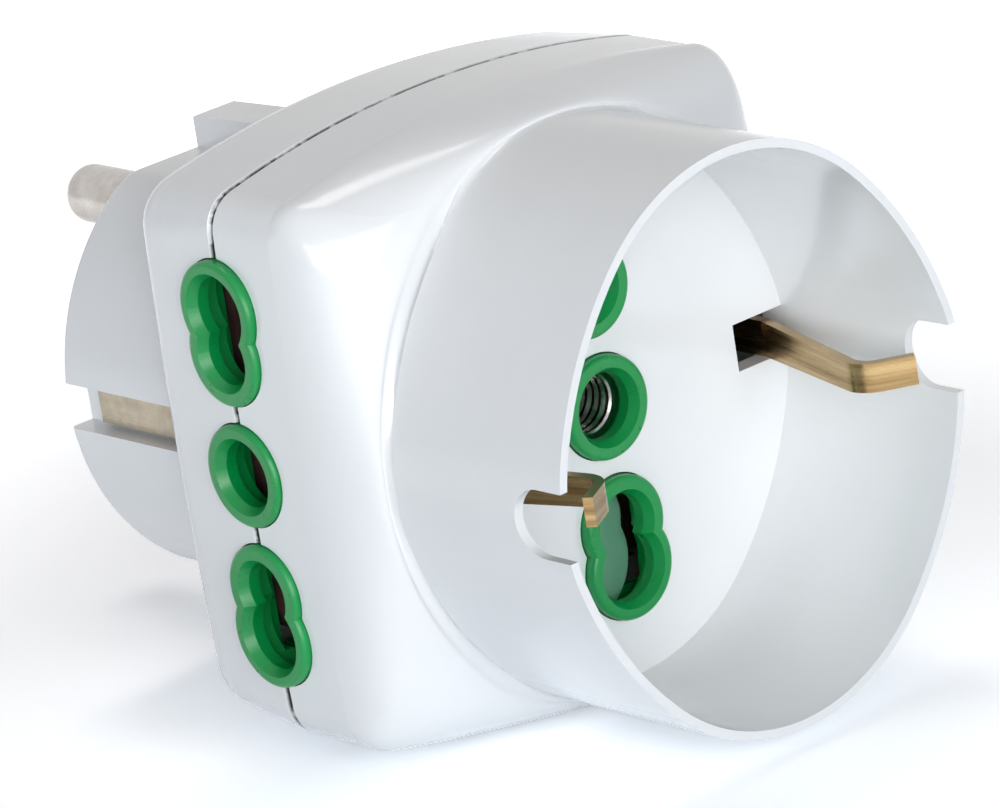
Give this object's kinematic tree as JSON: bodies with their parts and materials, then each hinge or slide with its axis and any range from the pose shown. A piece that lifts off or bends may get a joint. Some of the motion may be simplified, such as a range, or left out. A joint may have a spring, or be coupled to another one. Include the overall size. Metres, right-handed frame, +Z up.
{
  "type": "multi socket adapter",
  "caption": "Wall adapter: a two-pin earthed plug at the back, a recessed universal socket at the front and a flush in-line socket on each side, each with a sprung shutter.",
  "frame": {"origin": "centre of the plug's flat end face, midway between the two pins", "axes": "+Y along the pins, towards the wall outlet; +Z up, along the row of socket holes; +X to the right seen from the round socket"},
  "size_m": [0.0474, 0.0797, 0.0484],
  "materials": {
    "shell_white": "glossy white moulding",
    "insert_green": "glossy green moulding",
    "shutter_grey": "satin grey-green moulding",
    "spring_steel": "bright drawn wire",
    "contact_brass": "stamped strip, bare",
    "earth_brass": "stamped strip, dull",
    "earth_nickel": "stamped strip, dull plating",
    "sleeve_nickel": "ringed tube, nickel plated",
    "pin_nickel": "turned, nickel plated",
    "block_brown": "dark red-brown moulding",
    "screw_steel": "zinc plated"
  },
  "bodies": {
    "housing": {"front_shell": "shell_white", "rear_shell": "shell_white", "front_insert": "insert_green", "right_insert": "insert_green", "left_insert": "insert_green", "front_shutter_spring": "spring_steel", "right_shutter_spring": "spring_steel", "left_shutter_spring": "spring_steel", "pole_bar_top": "contact_brass", "pole_bar_bottom": "contact_brass", "earth_bar": "contact_brass", "front_earth_clip": "earth_brass", "earth_sleeve": "sleeve_nickel", "plug_earth_strap": "earth_nickel", "plug_pin_top": "pin_nickel", "plug_pin_bottom": "pin_nickel", "contact_block": "block_brown", "centre_screw": "screw_steel", "square_nut": "screw_steel"},
    "front_shutter": {"front_shutter": "shutter_grey"},
    "right_shutter": {"right_shutter": "shutter_grey"},
    "left_shutter": {"left_shutter": "shutter_grey"}
  },
  "joints": [
    {"name": "front_shutter_slide", "type": "slide", "parent": "housing", "child": "front_shutter", "axis": [-1, 0, 0], "range_m": [0, 0.005], "stiffness_N_per_m": 120, "springref_m": -0.0015, "deforming": ["front_shutter_spring"]},
    {"name": "right_shutter_slide", "type": "slide", "parent": "housing", "child": "right_shutter", "axis": [0, -1, 0], "range_m": [0, 0.005], "stiffness_N_per_m": 120, "springref_m": -0.0015, "deforming": ["right_shutter_spring"]},
    {"name": "left_shutter_slide", "type": "slide", "parent": "housing", "child": "left_shutter", "axis": [0, -1, 0], "range_m": [0, 0.005], "stiffness_N_per_m": 120, "springref_m": -0.0015, "deforming": ["left_shutter_spring"]}
  ]
}
